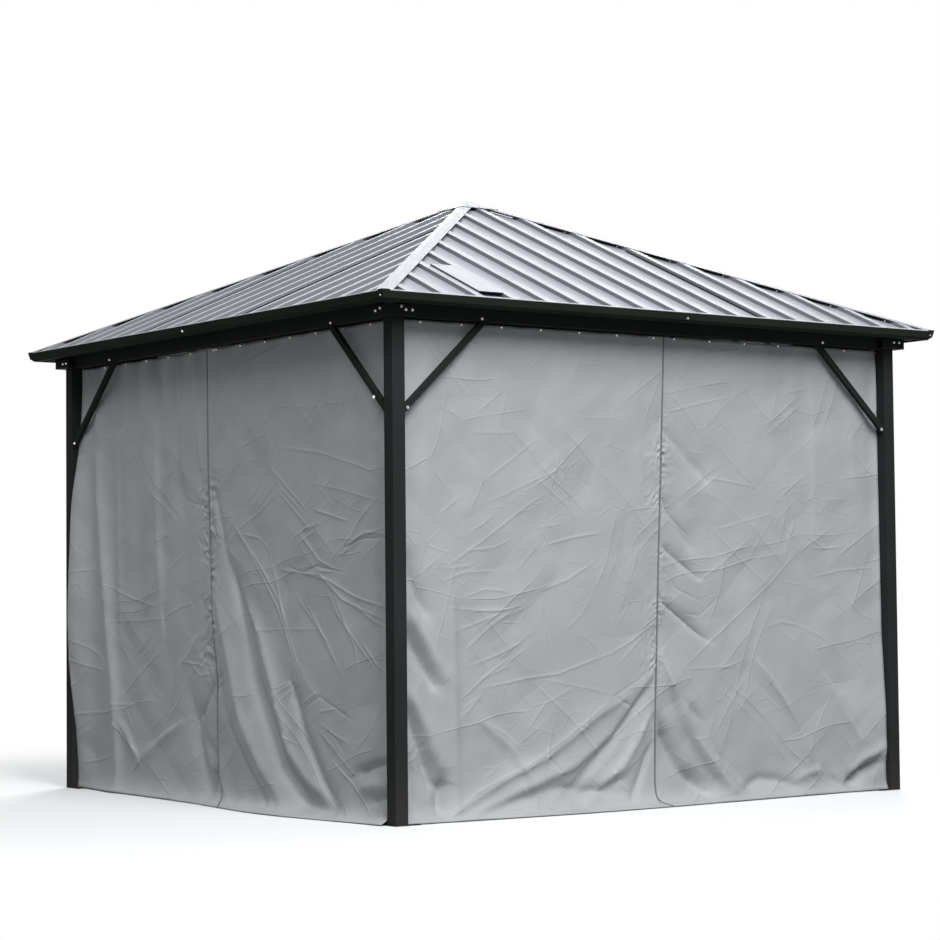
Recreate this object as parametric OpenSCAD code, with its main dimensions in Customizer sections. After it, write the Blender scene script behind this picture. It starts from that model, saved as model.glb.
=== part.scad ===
// Square garden pavilion: four tube posts carry a ring of beams, four hip rafters
// and a pyramid roof of ribbed steel sheets. Two curtains close each side.
// The origin is on the ground at the plan's centre; the front is the -Y side.

/* [Plan] */
// Distance across the posts, outer face to outer face
post_span = 2800; // [2400:10:3600]
// How far the eave stands out past the posts
eave_overhang = 133; // [110:1:180]
// Height of the eave's top edge above the ground
eave_z = 2100; // [1900:10:2500]

/* [Posts and feet] */
// Width of a square post tube
post_w = 60; // [54:1:80]
// Wall of a post tube
post_wall = 2; // [1.5:0.1:4]
// Width of a foot plate's flange, on the post's two inner sides
foot_flange = 60; // [50:1:90]
// Thickness of a foot plate
foot_t = 5; // [3:0.5:10]
// Radius of an anchor hole
anchor_r = 5; // [4:0.5:7]
// Distance of an anchor hole from the flange's edge
anchor_inset = 22; // [14:1:30]

/* [Beams and brackets] */
// Distance from the eave's top edge down to the beams' undersides
beam_drop = 80; // [70:1:110]
// Height of a beam
beam_h = 72; // [60:1:90]
// Wall of a beam
beam_wall = 2.5; // [2:0.1:4]
// Width of the curtain slot in a beam's underside
slot_w = 8; // [6:0.5:10]
// Width of the runner's channel above the slot
channel_w = 14; // [12:0.5:16]
// Height of the runner's channel
channel_h = 10; // [6:0.5:14]
// Distance of the slot's middle from the beam's inner face
slot_inset = 10; // [9.5:0.5:14]
// How far a corner bracket stands out past the posts
bracket_out = 37; // [25:1:50]
// Length of a corner bracket's leg
bracket_leg = 137; // [100:1:200]
// Height of a corner bracket
bracket_h = 42; // [30:1:60]
// Thickness of a corner bracket's plate
bracket_wall = 3; // [2:0.5:5]

/* [Knee braces] */
// Reach of a brace along the beam
brace_run = 420; // [300:1:500]
// Drop of a brace's foot below the beam
brace_drop = 390; // [300:1:500]
// Thickness of a brace, seen from outside
brace_t = 24; // [20:1:36]
// Depth of a brace, into the building
brace_depth = 22; // [14:1:26]
// How far a brace is set back from the post's outer face
brace_set = 6; // [2:1:10]
// Width of the groove along a brace's outer face
groove_w = 5; // [3:0.5:8]
// Depth of that groove
groove_depth = 2; // [1:0.5:4]

/* [Roof] */
// Slope of the roof, in degrees
roof_pitch = 23.6; // [20:0.1:28]
// Thickness of a roof sheet
sheet_t = 2.5; // [1:0.1:4]
// Distance between ribs
rib_pitch = 175; // [140:1:230]
// Width of a rib's top
rib_w = 38; // [24:1:60]
// Height of a rib above the sheet
rib_h = 16; // [12:0.5:30]
// Slant of a rib's side, seen along the rib
rib_slant = 3; // [1:0.5:8]
// Drop of the sheet below the fascia's top edge, at the eave
sheet_drop = 16; // [8:0.5:20]
// Distance from the eave's edge back to the sheet's end
sheet_back = 8; // [7:0.5:20]
// Thickness of the lip that closes the ribs' ends
lip_t = 2; // [1:0.5:4]
// Reach of a hip cap's wing, measured along the eave
cap_reach = 50; // [36:1:80]
// Thickness of a hip cap and of the top cap
cap_t = 2; // [1:0.5:4]
// Half the side of the top cap
top_half = 104; // [90:1:140]
// Distance from the roof's middle to a hip cap's upper end
cap_start = 62; // [55:1:80]

/* [Eave] */
// Height of the fascia
fascia_h = 40; // [34:1:60]
// Height of the fascia's face, above its slanted lip
fascia_face = 29; // [24:1:33]
// Slant of the fascia's face
fascia_slant = 7.5; // [3:0.5:9]
// Thickness of the fascia
fascia_wall = 2.5; // [1.5:0.1:3.5]
// Run of the fascia's slanted lip
fascia_lip = 12; // [6:1:20]
// Width of the fascia's bottom flange
fascia_flange = 20; // [10:1:30]
// Width of the ledge that carries the sheet
ledge_w = 55; // [30:1:60]
// Length of an eave corner cover's leg
cover_leg = 34; // [20:1:60]
// Thickness of an eave corner cover
cover_t = 2; // [1:0.5:4]
// How far a corner cover stands up over the fascia
cover_up = 5; // [0:0.5:8]

/* [Rafters] */
// Width of a hip rafter
rafter_w = 40; // [30:1:60]
// Depth of the seat cut where a rafter sits on the beams
rafter_notch = 6; // [2:0.5:15]
// Half the width of the crown block that the rafters meet
crown_half = 40; // [32:1:60]
// Wall of the crown block
crown_wall = 4; // [2:0.5:8]
// How far the crown block hangs below the rafters
crown_hang = 20; // [5:1:60]

/* [Loose cover plate] */
// Number of pans left free between the hip cap and the plate
plate_pan = 0; // [0:1:3]
// Distance of the plate's lower end from the eave, up the slope
plate_start = 77; // [40:1:200]
// Length of the plate, up the slope
plate_l = 370; // [200:5:450]
// Height of the plate over the ribs beside it
plate_rise = 5; // [0:0.5:12]
// Gap between the plate's left flange and the rib beside it
plate_gap = 8; // [1:0.5:20]
// Thickness of the plate
plate_t = 2; // [1:0.5:4]

/* [Curtains] */
// Thickness of a curtain
curtain_t = 3; // [1:0.5:4]
// Depth of a curtain's waves, to each side
wave_depth = 7; // [3:0.5:8]
// Length of one wave, hook to hook
wave_l = 190; // [140:5:260]
// Distance of a curtain's hem above the foot plates
hem_gap = 3; // [2:0.5:20]

/* [Clearances] */
// Gap between pieces that seat on each other on a slope
seat = 0.2; // [0.1:0.05:0.4]
// Gap on each side of a mitre at a hip
hip_gap = 0.4; // [0.2:0.1:0.5]
// Gap between a curtain and the post, and half that between two curtains
curtain_gap = 4; // [3:0.5:10]
// Gap between a curtain's top and its beam
hook_gap = 0.3; // [0.2:0.05:0.5]

/* [Hidden] */
$fn = 48;

// Quarter turns that carry the front side, or the front left corner, round the plan
sides = ["front", "right", "back", "left"];
corners = ["front_left", "front_right", "back_right", "back_left"];

post_out = post_span / 2;
post_in = post_out - post_w;
eave_half = post_out + eave_overhang;
beam_z = eave_z - beam_drop;
beam_top = beam_z + beam_h;
bracket_top = beam_z + bracket_h;
slot_y = -(post_in + slot_inset);
sheet_half = eave_half - sheet_back;
slope = tan(roof_pitch);
// Height of the sheet's underside over the eave's edge
sheet_z = eave_z - sheet_drop - sheet_t / cos(roof_pitch);
rib_top = sheet_t + rib_h;
rib_count = floor((eave_half - rib_w) / rib_pitch);
roof_rise = eave_half * slope;
// Longer than any sheet or beam, for pieces that are cut to length by the mitres
stock_l = 4 * eave_half;

function under_sheet(q) = sheet_z + slope * (eave_half - q);

frame_colour = [0.13, 0.14, 0.14];
roof_colour = [0.74, 0.75, 0.78];
cloth_colour = [0.50, 0.52, 0.53];
zinc_colour = [0.62, 0.63, 0.64];

// Turns its children, drawn for the front or the front left, round to the named place
module at_turn(names, name) {
    rotate([0, 0, 90 * search([name], names)[0]]) children();
}

// Draws its children and their mirror image over the front left hip
module both_sides_of_hip() {
    children();
    mirror([1, -1, 0]) children();
}

// The front roof slope's own frame: X along the eave, Y up the slope, Z off the sheet
module on_slope() {
    translate([0, -eave_half, sheet_z]) rotate([roof_pitch, 0, 0]) children();
}

// A flat layer on the front slope, from one height off the sheet's underside to another
module slope_layer(low, high) {
    on_slope() translate([-stock_l / 2, -stock_l / 4, low]) cube([stock_l, stock_l, high - low]);
}

// The column of space over the front quarter of the plan, out to half-side q
module front_quarter(q, gap) {
    linear_extrude(2 * (eave_z + roof_rise)) polygon([[0, -gap], [gap - q, -q], [q - gap, -q]]);
}

// A section drawn as [distance from the middle, height], run along the front side
module front_run(section) {
    rotate([90, 0, 90]) linear_extrude(stock_l, center = true)
        polygon([for (p = section) [-p[0], p[1]]]);
}

// Feet, posts and beams

module foot_plate() {
    side = post_w + foot_flange;
    hole = side - anchor_inset;
    translate([-post_out, -post_out, 0]) difference() {
        cube([side, side, foot_t]);
        for (p = [[hole, post_w / 2], [post_w / 2, hole], [hole, hole]])
            translate([p[0], p[1], -1]) cylinder(r = anchor_r, h = foot_t + 2);
    }
}

module foot_plates() {
    color(frame_colour) for (i = [0:3]) rotate([0, 0, 90 * i]) foot_plate();
}

module post(corner) {
    bore = post_w - 2 * post_wall;
    color(frame_colour) at_turn(corners, corner)
        translate([-post_out, -post_out, foot_t]) difference() {
            cube([post_w, post_w, beam_z - foot_t]);
            translate([post_wall, post_wall, -1]) cube([bore, bore, beam_z - foot_t + 2]);
        }
}

module rect(low, high) {
    translate(low) square(high - low);
}

// Beam tube with a runner's channel, open below, along its inner edge
module beam_section() {
    roof = beam_z + beam_wall + channel_h;
    difference() {
        rect([-post_out, beam_z], [-post_in, beam_top]);
        difference() {
            rect([-post_out + beam_wall, beam_z + beam_wall], [-post_in - beam_wall, beam_top - beam_wall]);
            rect([slot_y - channel_w / 2 - beam_wall, beam_z], [-post_in, roof + beam_wall]);
        }
        rect([slot_y - channel_w / 2, beam_z + beam_wall], [slot_y + channel_w / 2, roof]);
        rect([slot_y - slot_w / 2, beam_z - 1], [slot_y + slot_w / 2, roof]);
    }
}

module beam(side) {
    color(frame_colour) at_turn(sides, side) intersection() {
        rotate([90, 0, 90]) linear_extrude(stock_l, center = true) beam_section();
        front_quarter(eave_half, 0);
    }
}

// Folded channel round the outside of the beams' corner
module bracket_plan(inset, open) {
    far = bracket_leg - post_out - bracket_out + open;
    near = inset - post_out - bracket_out;
    back = open - post_out;
    polygon([[near, near], [far, near], [far, back], [back, back], [back, far], [near, far]]);
}

module corner_bracket(corner) {
    color(frame_colour) at_turn(corners, corner) translate([0, 0, beam_z]) difference() {
        linear_extrude(bracket_h) bracket_plan(0, 0);
        translate([0, 0, bracket_wall]) linear_extrude(bracket_h - 2 * bracket_wall)
            bracket_plan(bracket_wall, 1);
    }
}

// A band of given thickness along the brace's middle line, run past both ends
module brace_band(thickness, low, high) {
    tilt = atan2(brace_drop, brace_run);
    middle = brace_t / 2;
    length = 2 * (brace_run + brace_drop);
    translate([-post_in, -post_out + brace_set, beam_z - brace_drop]) rotate([0, -tilt, 0])
        translate([-length / 2, low, middle - thickness / 2]) cube([length, high - low, thickness]);
}

module knee_brace() {
    difference() {
        intersection() {
            brace_band(brace_t, 0, brace_depth);
            translate([-post_in, -post_out, 0]) cube([post_in, post_w, beam_z]);
        }
        brace_band(groove_w, -1, groove_depth);
    }
}

module knee_braces(corner) {
    color(frame_colour) at_turn(corners, corner) both_sides_of_hip() knee_brace();
}

// Hip rafters and crown

module hip_rafter(corner) {
    depth = under_sheet(post_in) - beam_top + rafter_notch;
    function hip_z(s) = under_sheet(s / sqrt(2)) - depth;
    head = crown_half + seat;
    heel = sqrt(2) * post_in - rafter_w / 2 - seat;
    toe = sqrt(2) * post_out + rafter_w / 2 + seat;
    tail = sqrt(2) * (eave_half - ledge_w) - rafter_w / 2 - seat;
    top = eave_z + roof_rise;
    color(frame_colour) at_turn(corners, corner) intersection() {
        rotate([0, 0, 225]) rotate([90, 0, 0]) linear_extrude(rafter_w, center = true)
            polygon([[head, hip_z(head)], [heel, hip_z(heel)], [heel, beam_top], [toe, beam_top],
                     [toe, bracket_top], [tail, bracket_top], [tail, top], [head, top]]);
        slope_layer(-eave_z, -seat);
        mirror([1, -1, 0]) slope_layer(-eave_z, -seat);
    }
}

module crown_block() {
    depth = under_sheet(post_in) - beam_top + rafter_notch;
    low = under_sheet(crown_half / sqrt(2)) - depth - crown_hang;
    high = under_sheet(crown_half * sqrt(2)) - seat;
    bore = crown_half - crown_wall;
    color(zinc_colour) rotate([0, 0, 45]) difference() {
        translate([-crown_half, -crown_half, low]) cube([2 * crown_half, 2 * crown_half, high - low]);
        translate([-bore, -bore, low - 1]) cube([2 * bore, 2 * bore, high - low - crown_wall + 1]);
    }
}

// Eave

// The fascia's face, drawn from one distance off its outer side to another
function fascia_strip(near, far, up) = [
    [eave_half + far, eave_z + up], [eave_half + far, eave_z],
    [eave_half - fascia_slant + far, eave_z - fascia_face],
    [eave_half - fascia_slant + near, eave_z - fascia_face],
    [eave_half + near, eave_z], [eave_half + near, eave_z + up]
];

module fascia(side) {
    foot = eave_z - fascia_h;
    knee = eave_half - fascia_slant;
    toe = knee - fascia_lip;
    ledge_in = eave_half - ledge_w;
    ledge_out = eave_half - fascia_slant * sheet_drop / fascia_face - fascia_wall / 2;
    ledge_drop = seat / cos(roof_pitch);
    color(frame_colour) at_turn(sides, side) intersection() {
        union() {
            front_run([[eave_half, eave_z], [knee, eave_z - fascia_face], [toe, foot],
                       [toe - fascia_flange, foot], [toe - fascia_flange, foot + fascia_wall],
                       [toe - fascia_wall / 2, foot + fascia_wall],
                       [knee - fascia_wall, eave_z - fascia_face], [eave_half - fascia_wall, eave_z]]);
            front_run([[ledge_out, under_sheet(ledge_out) - ledge_drop],
                       [ledge_in, under_sheet(ledge_in) - ledge_drop],
                       [ledge_in, under_sheet(ledge_in) - ledge_drop - fascia_wall],
                       [ledge_out, under_sheet(ledge_out) - ledge_drop - fascia_wall]]);
        }
        front_quarter(2 * eave_half, hip_gap);
    }
}

module eave_corner_cover() {
    both_sides_of_hip() intersection() {
        front_run(fascia_strip(seat, seat + cover_t, cover_up));
        front_quarter(2 * eave_half, 0);
        translate([-2 * eave_half, -2 * eave_half, 0])
            cube([eave_half + cover_leg, 2 * eave_half, 2 * eave_z]);
    }
}

module eave_corner_covers() {
    color(frame_colour) for (i = [0:3]) rotate([0, 0, 90 * i]) eave_corner_cover();
}

// Roof sheets and caps

// Section across a ribbed sheet: the upper line out, the under line back
function rib_line(u, base, top, height, side) =
    [[u - side * base, 0], [u - side * top, height], [u + side * top, height], [u + side * base, 0]];

function sheet_section() =
    let (top = rib_w / 2, base = rib_w / 2 + rib_slant, half = 2 * eave_half)
    concat(
        [[-half, 0], [-half, sheet_t]],
        [for (k = [-rib_count:rib_count]) each
            [for (p = rib_line(k * rib_pitch, base, top, rib_h, 1)) p + [0, sheet_t]]],
        [[half, sheet_t], [half, 0]],
        [for (k = [rib_count:-1:-rib_count]) each
            rib_line(k * rib_pitch, base - sheet_t, top - sheet_t, rib_h, -1)]
    );

module roof_face(side) {
    length = 2 * eave_half;
    color(roof_colour) at_turn(sides, side) intersection() {
        union() {
            on_slope() translate([0, length, 0]) rotate([90, 0, 0]) linear_extrude(length)
                polygon(sheet_section());
            intersection() {
                slope_layer(0, rib_top);
                translate([-eave_half, -sheet_half, 0]) cube([2 * eave_half, lip_t, 2 * eave_z]);
            }
        }
        front_quarter(sheet_half, hip_gap);
    }
}

// One wing of the front left hip's cap: a strip of the front slope beside the hip
module hip_wing(low, high) {
    intersection() {
        slope_layer(low, high);
        linear_extrude(2 * (eave_z + roof_rise))
            polygon([[-cap_start, -cap_start], [-sheet_half, -sheet_half],
                     [cap_reach - sheet_half, -sheet_half], [cap_reach - cap_start, -cap_start]]);
    }
}

module hip_cap(corner) {
    low = rib_top + seat;
    color(roof_colour) at_turn(corners, corner) both_sides_of_hip() hip_wing(low, low + cap_t);
}

module top_cap() {
    low = rib_top + cap_t + 2 * seat;
    color(roof_colour) for (i = [0:3]) rotate([0, 0, 90 * i]) intersection() {
        slope_layer(low, low + cap_t);
        front_quarter(top_half, 0);
    }
}

// Plate with two flanges that stand in one pan of the front slope, open at both ends
module roof_cover_plate() {
    low = sheet_t + seat;
    height = rib_top + plate_rise - low;
    rib_base = rib_w + 2 * rib_slant;
    width = rib_pitch - rib_base - plate_gap - seat;
    clear_of_cap = eave_half - (plate_start + plate_l) * cos(roof_pitch) - cap_reach;
    rib_u = (plate_pan - floor(clear_of_cap / rib_pitch)) * rib_pitch;
    color(roof_colour) on_slope()
        translate([rib_u + rib_base / 2 + plate_gap, plate_start + plate_l, low])
            rotate([90, 0, 0]) linear_extrude(plate_l) difference() {
                square([width, height]);
                translate([plate_t, -plate_t]) square([width - 2 * plate_t, height]);
            }
}

// Curtains

function wave_y(x) = wave_depth * cos(360 * (x + post_in) / wave_l);

// Left or right curtain of the front side, as a waved sheet that hangs under the slot
module curtain(side, half) {
    reach = post_in - curtain_gap;
    steps = 8 * ceil(reach / wave_l);
    width = reach - curtain_gap / 4;
    xs = [for (i = [0:steps]) -reach + width * i / steps];
    line = [for (x = xs) [x, slot_y + wave_y(x)]];
    back = [for (i = [steps:-1:0]) line[i] + [0, curtain_t / 2]];
    low = foot_t + hem_gap;
    color(cloth_colour) at_turn(sides, side) mirror([half, 0, 0]) translate([0, 0, low])
        linear_extrude(beam_z - hook_gap - low)
            polygon(concat([for (p = line) p - [0, curtain_t / 2]], back));
}

foot_plates();
post("front_left");  // post_front_left
post("front_right");  // post_front_right
post("back_right");  // post_back_right
post("back_left");  // post_back_left
beam("front");  // beam_front
beam("right");  // beam_right
beam("back");  // beam_back
beam("left");  // beam_left
corner_bracket("front_left");  // corner_bracket_front_left
corner_bracket("front_right");  // corner_bracket_front_right
corner_bracket("back_right");  // corner_bracket_back_right
corner_bracket("back_left");  // corner_bracket_back_left
knee_braces("front_left");  // knee_braces_front_left
knee_braces("front_right");  // knee_braces_front_right
knee_braces("back_right");  // knee_braces_back_right
knee_braces("back_left");  // knee_braces_back_left
hip_rafter("front_left");  // hip_rafter_front_left
hip_rafter("front_right");  // hip_rafter_front_right
hip_rafter("back_right");  // hip_rafter_back_right
hip_rafter("back_left");  // hip_rafter_back_left
crown_block();
fascia("front");  // fascia_front
fascia("right");  // fascia_right
fascia("back");  // fascia_back
fascia("left");  // fascia_left
eave_corner_covers();
roof_face("front");  // roof_face_front
roof_face("right");  // roof_face_right
roof_face("back");  // roof_face_back
roof_face("left");  // roof_face_left
hip_cap("front_left");  // hip_cap_front_left
hip_cap("front_right");  // hip_cap_front_right
hip_cap("back_right");  // hip_cap_back_right
hip_cap("back_left");  // hip_cap_back_left
top_cap();
roof_cover_plate();
curtain("front", 0);  // curtain_front_left
curtain("front", 1);  // curtain_front_right
curtain("right", 0);  // curtain_right_front
curtain("right", 1);  // curtain_right_back
curtain("back", 0);  // curtain_back_right
curtain("back", 1);  // curtain_back_left
curtain("left", 0);  // curtain_left_back
curtain("left", 1);  // curtain_left_front
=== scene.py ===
import math
import random
import time

import bmesh
import bpy
import numpy as np
from mathutils import Matrix, Vector


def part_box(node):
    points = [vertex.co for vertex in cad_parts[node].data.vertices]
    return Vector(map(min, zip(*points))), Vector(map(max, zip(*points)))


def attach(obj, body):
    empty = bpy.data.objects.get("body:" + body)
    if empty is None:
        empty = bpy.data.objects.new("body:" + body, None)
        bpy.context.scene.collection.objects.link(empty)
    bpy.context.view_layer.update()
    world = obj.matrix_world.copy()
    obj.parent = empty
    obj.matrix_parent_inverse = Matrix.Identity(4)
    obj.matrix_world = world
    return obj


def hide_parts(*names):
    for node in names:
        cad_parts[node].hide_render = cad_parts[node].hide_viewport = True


began = time.time()
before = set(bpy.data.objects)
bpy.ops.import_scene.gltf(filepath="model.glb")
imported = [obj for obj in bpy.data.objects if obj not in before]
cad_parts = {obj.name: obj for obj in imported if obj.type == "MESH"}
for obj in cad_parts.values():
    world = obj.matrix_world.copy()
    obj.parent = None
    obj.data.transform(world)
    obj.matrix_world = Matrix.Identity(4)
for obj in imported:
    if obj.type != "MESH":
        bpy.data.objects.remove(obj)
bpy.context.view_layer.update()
scene = bpy.context.scene
scene.view_settings.view_transform = "Standard"
print("frame loaded:", len(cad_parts), "nodes")

# Faces and places that several pieces share, read from the frame
postOut = -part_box("post_front_left")[0].y
postIn = -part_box("post_front_left")[1].y
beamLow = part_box("beam_front")[0].z
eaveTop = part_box("fascia_front")[1].z
bracketOut = -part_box("corner_bracket_front_left")[0].y
slotOut = -(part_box("curtain_front_left")[0].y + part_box("curtain_front_left")[1].y) / 2
sideTurn = {"front": 0, "right": 90, "back": 180, "left": 270}


def turned(degrees):
    return Matrix.Rotation(math.radians(degrees), 4, "Z")


def keepPiece(name, bm, mat, smooth=False):
    mesh = bpy.data.meshes.new(name)
    bm.normal_update()
    bm.to_mesh(mesh)
    bm.free()
    return keepMesh(name, mesh, mat, smooth)


def keepMesh(name, mesh, mat, smooth=False):
    piece = bpy.data.objects.new(name, mesh)
    scene.collection.objects.link(piece)
    mesh.materials.clear()
    mesh.materials.append(mat)
    if smooth:
        mesh.shade_smooth()
    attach(piece, "root")
    return piece


# Material helpers

def newMaterial(name):
    mat = bpy.data.materials.new(name)
    mat.use_nodes = True
    return mat, mat.node_tree, mat.node_tree.nodes["Principled BSDF"]


def addNode(tree, kind, **settings):
    node = tree.nodes.new(kind)
    for key, value in settings.items():
        setattr(node, key, value)
    return node


def objectCoords(tree):
    return addNode(tree, "ShaderNodeTexCoord").outputs["Object"]


def noiseOf(tree, coords, scale, detail=3.0, rough=0.55):
    node = addNode(tree, "ShaderNodeTexNoise")
    node.inputs["Scale"].default_value = scale
    node.inputs["Detail"].default_value = detail
    node.inputs["Roughness"].default_value = rough
    tree.links.new(coords, node.inputs["Vector"])
    return node.outputs["Fac"]


def rampOf(tree, value, stops):
    node = addNode(tree, "ShaderNodeValToRGB")
    for point, (place, colour) in zip(node.color_ramp.elements, stops):
        point.position = place
        point.color = (*colour, 1.0)
    tree.links.new(value, node.inputs["Fac"])
    return node.outputs["Color"]


def toneOf(tree, value, finish, low=0.3, high=0.7):
    return rampOf(tree, value, [(low, finish["dark"]), (high, finish["light"])])


def rangeOf(tree, value, fromLow, fromHigh, low, high):
    node = addNode(tree, "ShaderNodeMapRange", clamp=True)
    for key, number in zip(("From Min", "From Max", "To Min", "To Max"), (fromLow, fromHigh, low, high)):
        node.inputs[key].default_value = number
    tree.links.new(value, node.inputs["Value"])
    return node.outputs["Result"]


def mathOf(tree, operation, *values):
    node = addNode(tree, "ShaderNodeMath", operation=operation)
    for socket, value in zip(node.inputs, values):
        if isinstance(value, (int, float)):
            socket.default_value = value
        else:
            tree.links.new(value, socket)
    return node.outputs["Value"]


def mixOf(tree, factor, first, second):
    node = addNode(tree, "ShaderNodeMix", data_type="RGBA")
    for socket, value in zip((node.inputs[0], node.inputs[6], node.inputs[7]), (factor, first, second)):
        if isinstance(value, (int, float)):
            socket.default_value = value
        elif isinstance(value, tuple):
            socket.default_value = (*value, 1.0)
        else:
            tree.links.new(value, socket)
    return node.outputs[2]


def bumpOf(tree, shader, height, strength, distance, below=None):
    node = addNode(tree, "ShaderNodeBump")
    node.inputs["Strength"].default_value = strength
    node.inputs["Distance"].default_value = distance
    tree.links.new(height, node.inputs["Height"])
    if below:
        tree.links.new(below, node.inputs["Normal"])
    tree.links.new(node.outputs["Normal"], shader.inputs["Normal"])
    return node.outputs["Normal"]


def coatMaterial(name, finish):
    mat, tree, shader = newMaterial(name)
    coords = objectCoords(tree)
    tone = toneOf(tree, noiseOf(tree, coords, 3.0, 4.0), finish)
    height = addNode(tree, "ShaderNodeSeparateXYZ")
    tree.links.new(coords, height.inputs["Vector"])
    splash = rangeOf(tree, height.outputs["Z"], 0.0, finish["dustTop"], 1.0, 0.0)
    dust = mathOf(tree, "MULTIPLY", splash, noiseOf(tree, coords, 40.0, 6.0))
    dust = mathOf(tree, "MULTIPLY", dust, finish["dustAmount"])
    tree.links.new(mixOf(tree, dust, tone, finish["dust"]), shader.inputs["Base Color"])
    gloss = rangeOf(tree, noiseOf(tree, coords, 9.0, 5.0), 0.3, 0.7, *finish["rough"])
    tree.links.new(gloss, shader.inputs["Roughness"])
    shader.inputs["IOR"].default_value = finish["ior"]
    bumpOf(tree, shader, noiseOf(tree, coords, finish["grain"], 2.0), 0.12, 0.0006)
    return mat


frameFinish = dict(  # charcoal powder coat
    dark=(0.0235, 0.026, 0.026), light=(0.030, 0.033, 0.034), dust=(0.10, 0.095, 0.08),
    dustTop=0.30, dustAmount=0.40, rough=(0.42, 0.52), grain=1100.0, ior=1.04)
fasciaFinish = dict(  # same coat, greener and duller on the folded eave strip
    dark=(0.018, 0.0235, 0.017), light=(0.0235, 0.029, 0.0225), dust=(0.16, 0.15, 0.13),
    dustTop=0.1, dustAmount=0.0, rough=(0.44, 0.56), grain=900.0, ior=1.04)
frameCoat = coatMaterial("charcoalCoat", frameFinish)
fasciaCoat = coatMaterial("eaveCoat", fasciaFinish)


# The roof tone is a light bluish grey: partly the coated steel's own colour, partly a painted reflection of
# a pale sky on the flats.
roofFinish = dict(
    dark=(0.272, 0.282, 0.322), light=(0.314, 0.325, 0.368), dirt=(0.22, 0.22, 0.228),
    bare=(0.62, 0.63, 0.65), rough=(0.46, 0.52), ior=1.6, lipFrom=1.5222,
    flatFrom=(0.62, 0.86), sideShade=0.42)  # painted shade: rib sides get a darker base colour than the flats


def roofMaterial():
    mat, tree, shader = newMaterial("greyRoofSteel")
    coords = objectCoords(tree)
    tone = toneOf(tree, noiseOf(tree, coords, 2.2, 5.0), roofFinish)
    dirt = rangeOf(tree, noiseOf(tree, coords, 14.0, 6.0, 0.65), 0.58, 0.8, 0.0, 0.4)
    colour = mixOf(tree, dirt, tone, roofFinish["dirt"])
    # painted shade: the base colour darkens where the surface turns away from facing up, so the rib sides
    # look shaded
    facing = addNode(tree, "ShaderNodeSeparateXYZ")
    tree.links.new(addNode(tree, "ShaderNodeNewGeometry").outputs["Normal"], facing.inputs["Vector"])
    paintedRibShade = rangeOf(tree, facing.outputs["Z"], *roofFinish["flatFrom"], roofFinish["sideShade"], 1.0)
    colour = mixOf(tree, paintedRibShade, (0.0, 0.0, 0.0), colour)
    split = addNode(tree, "ShaderNodeSeparateXYZ")
    tree.links.new(coords, split.inputs["Vector"])
    sideways = mathOf(tree, "ABSOLUTE", split.outputs["X"])
    lengthways = mathOf(tree, "ABSOLUTE", split.outputs["Y"])
    out = mathOf(tree, "MAXIMUM", sideways, lengthways)
    lip = mathOf(tree, "GREATER_THAN", out, roofFinish["lipFrom"])  # bare turned-up end of the sheets
    tree.links.new(mixOf(tree, lip, colour, roofFinish["bare"]), shader.inputs["Base Color"])
    gloss = rangeOf(tree, noiseOf(tree, coords, 6.0, 5.0), 0.3, 0.7, *roofFinish["rough"])
    tree.links.new(gloss, shader.inputs["Roughness"])
    shader.inputs["IOR"].default_value = roofFinish["ior"]
    shader.inputs["Specular Tint"].default_value = (0.94, 0.96, 1.0, 1.0)
    bumpOf(tree, shader, noiseOf(tree, coords, 700.0, 2.0), 0.08, 0.0005)
    return mat


zincFinish = dict(dark=(0.62, 0.62, 0.60), light=(0.86, 0.86, 0.85), rough=(0.22, 0.42))


def zincMaterial():
    mat, tree, shader = newMaterial("zincSteel")
    coords = objectCoords(tree)
    spangle = noiseOf(tree, coords, 160.0, 3.0)
    tree.links.new(toneOf(tree, spangle, zincFinish, 0.35, 0.65), shader.inputs["Base Color"])
    tree.links.new(rangeOf(tree, spangle, 0.3, 0.7, *zincFinish["rough"]), shader.inputs["Roughness"])
    shader.inputs["Metallic"].default_value = 0.85
    return mat


clothFinish = dict(
    dark=(0.375, 0.392, 0.402), light=(0.420, 0.438, 0.448), soil=(0.30, 0.30, 0.28),
    hemFrom=2.066, hemStep=0.003, hemRise=0.0012, weave=520.0, rough=0.62,
    pinchWidth=0.005, pinchHeight=0.0014,
    # Faint packing creases: heading in degrees, lines a metre, slope
    creases=((36, 5.0, 0.055), (-42, 4.5, 0.050), (8, 3.5, 0.040), (70, 3.5, 0.040)),
    # Crumples: cells a metre, width, height, mask from and to
    crumples=((5.0, 0.005, 0.0010, 0.52, 0.60), (13.0, 0.004, 0.0007, 0.55, 0.63)))


def shiftedBy(tree, vector, amount):
    node = addNode(tree, "ShaderNodeVectorMath", operation="ADD")
    tree.links.new(vector, node.inputs[0])
    node.inputs[1].default_value = amount
    return node.outputs["Vector"]


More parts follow.
